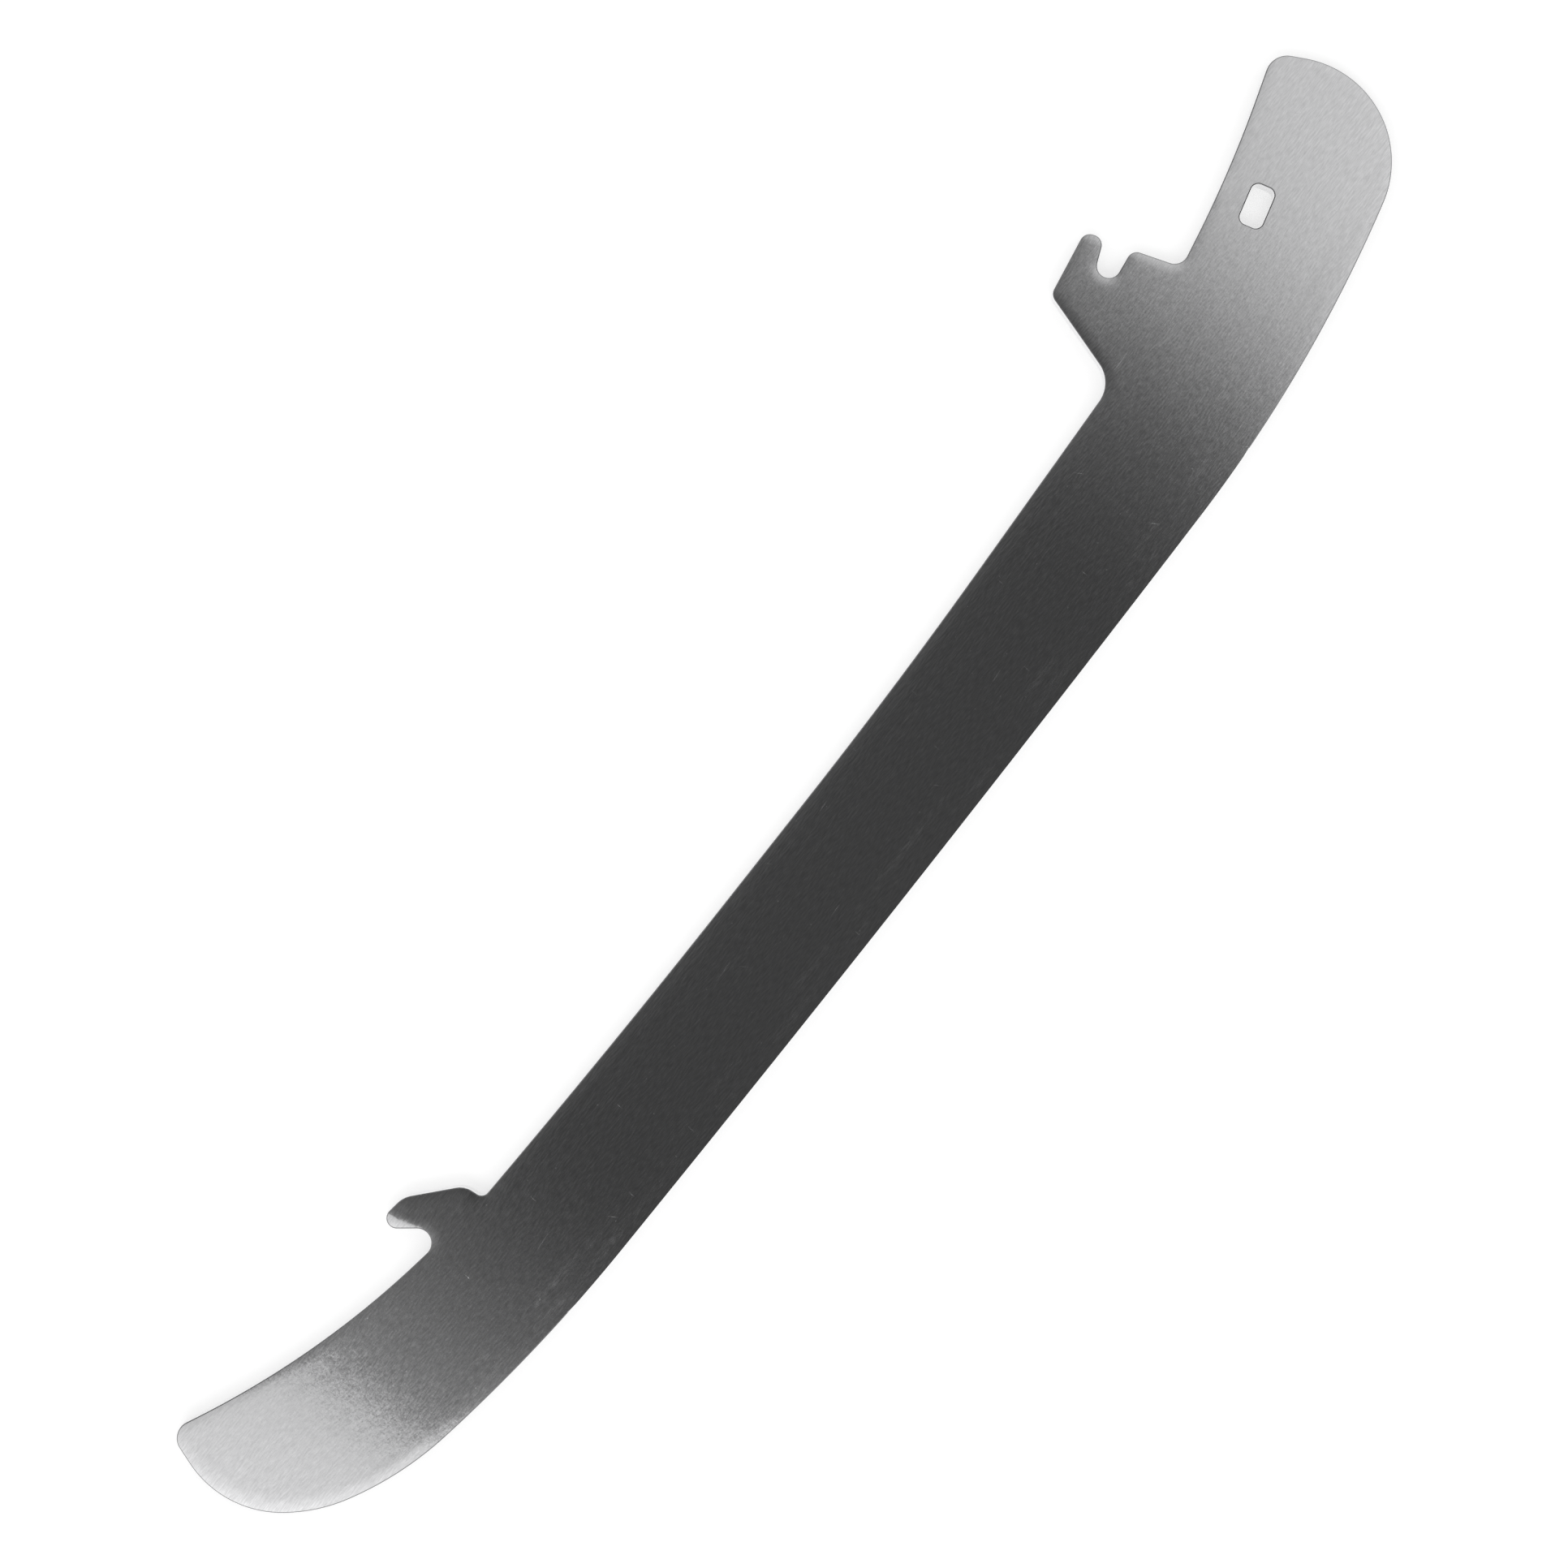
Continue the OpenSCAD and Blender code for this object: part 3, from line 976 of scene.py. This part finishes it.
    def roll_off(self, mesh: bmesh.types.BMesh, outer: BVHTree) -> None:
        """Lowers both sides towards the edges, as polishing does, and at the toe hook's tip.

        Args:
            mesh: The plate with its sides divided.
            outer: The walls to measure from.
        """
        for vert in mesh.verts:
            spot = Vector((vert.co.x, vert.co.y, 0.0))
            edge, lean, _, gap = outer.find_nearest(spot)
            drop = self.roll_drop(edge / MM, lean, gap / MM) + self.lead_drop(self.lead_gap(spot))
            vert.co.z *= 1 - drop / self.half_thickness

    def roll_drop(self, edge: Vector, lean: Vector, gap: float) -> float:
        """Finds how far a side has fallen towards an edge.

        Args:
            edge: The nearest point of the outline.
            lean: The outline's normal there.
            gap: Distance to it.

        Returns:
            The drop, all in millimetres.
        """
        boot = self.boot_roll.drop(gap)
        if not self.profile.faces_ice(edge, lean):
            return boot
        at_toe = ramp(edge.x, self.toe_roll_from, self.toe_roll_to)
        ice = self.ice_roll.drop(gap) * (1 - at_toe) + self.toe_roll.drop(gap) * at_toe
        on_ice = ramp(lean.y, self.profile.ice_lean, -self.profile.ice_lean)
        return boot * (1 - on_ice) + ice * on_ice

    def lead_drop(self, gap: float) -> float:
        """How far the toe hook's tip has fallen at a distance past its start: bent first, then straight."""
        bent = min(gap, self.lead_bend)
        return bent * (gap - bent / 2) / self.lead_in.radius

    def mark_creases(self, mesh: bmesh.types.BMesh) -> None:
        """Keeps the shading crisp where two regions meet and along the hollow.

        Args:
            mesh: The finished plate.
        """
        mesh.normal_update()
        for edge in mesh.edges:
            regions = {face.material_index for face in edge.link_faces}
            edge.smooth = len(regions) == 1 and edge.calc_face_angle(0.0) < CREASE

    def dress(self, piece: bpy.types.Object) -> None:
        """Gives the runner its finishes and its place in the frame.

        Args:
            piece: The runner's object.
        """
        finishes = {
            Region.SIDE: GroundSide(),
            Region.EDGE_BREAK: TumbledEdgePaintedShade(),
            Region.CUT_WALL: CutWall(),
            Region.RUNNING_EDGE: SharpenedEdgePaintedShade(),
        }
        for region in Region:
            piece.data.materials.append(finishes[region].material())
        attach(piece, BODY)
        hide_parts(NODE)


@dataclass(frozen=True)
class OverheadCamera:
    """The camera, straight above the plate, which sees the runner from corner to corner of its frame."""

    foot_x: float = 0.15
    foot_y: float = 23.86
    height: float = 430.0
    frame_width: float = 227.5
    turn: float = -51.73
    sensor: float = 36.0
    nearest: float = 10.0

    def build(self, plate_top: float) -> bpy.types.Object:
        """Builds the camera and makes it the scene's.

        Args:
            plate_top: Height of the plate's upper side in the frame, in millimetres.

        Returns:
            The camera's object.
        """
        data = bpy.data.cameras.new("overhead")
        data.sensor_width = self.sensor
        data.lens = self.sensor * self.height / self.frame_width
        data.clip_start = self.nearest * MM
        camera = bpy.data.objects.new("overhead", data)
        camera.location = Vector((self.foot_x, self.foot_y, plate_top + self.height)) * MM
        camera.rotation_euler.z = math.radians(self.turn)
        bpy.context.scene.collection.objects.link(camera)
        bpy.context.scene.camera = camera
        return camera


@dataclass(frozen=True)
class Panel:
    """A lit part of the tent's roof: the places between which its light rises, and how bright it gets."""

    start: float
    end: float
    level: float
    fade: Fade = Fade.SOFT


@dataclass(frozen=True)
class TentLight:
    """A white light tent whose roof has a dark gap, through which the camera looks.

    The steel mirrors the roof, so a place on the roof is named by the place on the runner that mirrors it.
    """

    camera: OverheadCamera
    # The light in the gap, and the panels round it: four along the runner and one across it
    gap: float = 0.07
    toe_glow: Panel = Panel(-59.0, -227.0, 1.3)
    toe_panel: Panel = Panel(-104.5, -112.0, 0.52)
    heel_glow: Panel = Panel(48.0, 145.0, 0.39)
    heel_panel: Panel = Panel(68.0, 120.0, 0.48, Fade.SOFTER)
    boot_glow: Panel = Panel(10.0, 50.0, 0.075)
    # The whole roof is brighter towards the ice than towards the boot
    ice_gain: float = 1.3
    ice_gain_at: float = -50.0
    boot_gain: float = 0.7
    boot_gain_at: float = 70.0
    # How steeply a look rises: at least this for the roof, and between these two from the walls to the roof
    horizon: float = 0.02
    roof_from: float = 0.55
    roof_to: float = 0.8
    # The tent's skirt, below its white walls, is darker
    walls: float = 1.0
    skirt: float = 0.3
    skirt_from: float = 0.35
    skirt_to: float = 0.1
    # The camera sees white behind everything
    backdrop: float = 1.0

    def along(self, x: float) -> float:
        """The roof's slope along X that the runner mirrors at x."""
        return (x - self.camera.foot_x) / self.camera.height

    def aside(self, y: float) -> float:
        """The roof's slope along Y that the runner mirrors at y."""
        return (y - self.camera.foot_y) / self.camera.height

    def build(self) -> bpy.types.World:
        """Builds the world.

        Returns:
            The world, which is made the scene's.
        """
        world = bpy.data.worlds.new("light_tent")
        world.use_nodes = True
        tree = world.node_tree
        tree.nodes.clear()
        look = add_node(tree, "ShaderNodeTexCoord").outputs["Generated"]
        level = self.light(tree, look)
        tent = add_node(tree, "ShaderNodeBackground", {"Color": linear(WHITE), "Strength": level})
        backdrop = add_node(tree, "ShaderNodeBackground", {
            "Color": linear(WHITE), "Strength": self.backdrop,
        })
        seen = add_node(tree, "ShaderNodeLightPath").outputs["Is Camera Ray"]
        mixed = add_node(tree, "ShaderNodeMixShader", {0: seen, 1: tent.outputs[0], 2: backdrop.outputs[0]})
        add_node(tree, "ShaderNodeOutputWorld", {"Surface": mixed.outputs[0]})
        bpy.context.scene.world = world
        return world

    def light(self, tree: Tree, look: Socket) -> Socket:
        """Adds the tent's light: its roof, its walls and its skirt.

        Args:
            tree: The world's node tree.
            look: The direction in which the tent is looked at.

        Returns:
            The strength of the light from there.
        """
        parts = add_node(tree, "ShaderNodeSeparateXYZ", {"Vector": look}).outputs
        rise = add_node(tree, "ShaderNodeMath", {
            0: parts["Z"], 1: self.horizon,
        }, operation="MAXIMUM").outputs[0]
        slope_x = add_node(tree, "ShaderNodeMath", {0: parts["X"], 1: rise}, operation="DIVIDE").outputs[0]
        slope_y = add_node(tree, "ShaderNodeMath", {0: parts["Y"], 1: rise}, operation="DIVIDE").outputs[0]
        overhead = add_node(tree, "ShaderNodeMapRange", {
            "Value": parts["Z"], "From Min": self.roof_from, "From Max": self.roof_to,
        }, interpolation_type=Fade.SOFT.value).outputs[0]
        level = add_node(tree, "ShaderNodeMix", {
            "Factor": overhead, MIX_NUMBER_A: self.walls, MIX_NUMBER_B: self.roof(tree, slope_x, slope_y),
        }, data_type="FLOAT").outputs[0]
        skirt = add_node(tree, "ShaderNodeMapRange", {
            "Value": parts["Z"],
            "From Min": self.skirt_to,
            "From Max": self.skirt_from,
            "To Min": self.skirt,
        }, interpolation_type=Fade.SOFT.value).outputs[0]
        return add_node(tree, "ShaderNodeMath", {0: level, 1: skirt}, operation="MULTIPLY").outputs[0]

    def roof(self, tree: Tree, slope_x: Socket, slope_y: Socket) -> Socket:
        """Adds the roof's light.

        Args:
            tree: The world's node tree.
            slope_x: How far the look leans along X for each unit that it rises.
            slope_y: How far it leans along Y.

        Returns:
            The strength of the light from there.
        """
        roof: float | Socket = self.gap
        ends = (self.toe_glow, self.toe_panel, self.heel_glow, self.heel_panel)
        panels = [(panel, slope_x, self.along) for panel in ends]
        panels.append((self.boot_glow, slope_y, self.aside))
        for panel, slope, place in panels:
            light = add_node(tree, "ShaderNodeMapRange", {
                "Value": slope,
                "From Min": place(panel.start),
                "From Max": place(panel.end),
                "To Max": panel.level,
            }, interpolation_type=panel.fade.value).outputs[0]
            roof = add_node(tree, "ShaderNodeMath", {0: light, 1: roof}, operation="ADD").outputs[0]
        gain = add_node(tree, "ShaderNodeMapRange", {
            "Value": slope_y,
            "From Min": self.aside(self.ice_gain_at),
            "From Max": self.aside(self.boot_gain_at),
            "To Min": self.ice_gain,
            "To Max": self.boot_gain,
        }).outputs[0]
        return add_node(tree, "ShaderNodeMath", {0: roof, 1: gain}, operation="MULTIPLY").outputs[0]


@dataclass(frozen=True)
class WhiteFloor:
    """The white table that the runner lies on, which keeps the runner's soft shadow."""

    size: float = 4000.0
    paper: str = "#c4c4c4"
    # How much brighter the camera sees it, and the steel mirrors it
    glow: float = 0.58
    mirrored_glow: float = 0.88

    def build(self, level: float) -> bpy.types.Object:
        """Builds the floor.

        Args:
            level: Its height in the frame, in metres.

        Returns:
            The floor's object.
        """
        mesh = bmesh.new()
        bmesh.ops.create_grid(mesh, x_segments=1, y_segments=1, size=self.size / 2 * MM)
        bmesh.ops.translate(mesh, verts=mesh.verts[:], vec=AXIS_Z * level)
        data = bpy.data.meshes.new("white_floor")
        mesh.to_mesh(data)
        mesh.free()
        data.materials.append(self.material())
        floor = bpy.data.objects.new("white_floor", data)
        bpy.context.scene.collection.objects.link(floor)
        return floor

    def material(self) -> bpy.types.Material:
        """Makes the matt white paper, which looks a little brighter than it lights the runner.

        Returns:
            The new material.
        """
        made = bpy.data.materials.new("matt_white_paper")
        made.use_nodes = True
        tree = made.node_tree
        tree.nodes.clear()
        paper = add_node(tree, "ShaderNodeBsdfDiffuse", {"Color": linear(self.paper)})
        path = add_node(tree, "ShaderNodeLightPath").outputs
        mirrored = add_node(tree, "ShaderNodeMath", {
            0: path["Is Glossy Ray"], 1: path["Is Transmission Ray"],
        }, operation="MAXIMUM").outputs[0]
        mirrored = add_node(tree, "ShaderNodeMath", {
            0: mirrored, 1: self.mirrored_glow,
        }, operation="MULTIPLY").outputs[0]
        strength = add_node(tree, "ShaderNodeMath", {
            0: path["Is Camera Ray"], 1: self.glow, 2: mirrored,
        }, operation="MULTIPLY_ADD").outputs[0]
        glow = add_node(tree, "ShaderNodeEmission", {"Strength": strength})
        both = add_node(tree, "ShaderNodeAddShader", {0: paper.outputs[0], 1: glow.outputs[0]})
        add_node(tree, "ShaderNodeOutputMaterial", {"Surface": both.outputs[0]})
        return made


@dataclass(frozen=True)
class SideLamp:
    """A soft lamp on the ice side, which keeps the shadow there narrower than on the boot side."""

    place: tuple[float, float, float] = (-150.0, -600.0, 700.0)
    size: float = 500.0
    watts: float = 0.2

    def build(self, target: Vector) -> bpy.types.Object:
        """Builds the lamp.

        Args:
            target: What it points at, in metres.

        Returns:
            The lamp's object.
        """
        data = bpy.data.lights.new("side_lamp", "AREA")
        data.shape = "DISK"
        data.size = self.size * MM
        data.energy = self.watts
        lamp = bpy.data.objects.new("side_lamp", data)
        lamp.location = Vector(self.place) * MM
        lamp.rotation_euler = (target - lamp.location).to_track_quat("-Z", "Y").to_euler()
        bpy.context.scene.collection.objects.link(lamp)
        return lamp


def main() -> None:
    """Builds the runner and its studio."""
    logging.basicConfig(level=logging.INFO, format="%(name)s: %(message)s")
    bpy.context.scene.view_settings.view_transform = "Standard"
    low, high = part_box(NODE)
    camera = OverheadCamera()
    camera.build(high.z / MM)
    TentLight(camera).build()
    SideLamp().build((low + high) / 2)
    floor = WhiteFloor().build(low.z)
    log.info("%s: stage", floor.name)
    runner = SteelRunner(Profile(), thickness=(high.z - low.z) / MM)
    piece = runner.build()
    runner.dress(piece)
    log.info("%s: %d faces", piece.name, len(piece.data.polygons))


if __name__ == "__main__":
    main()
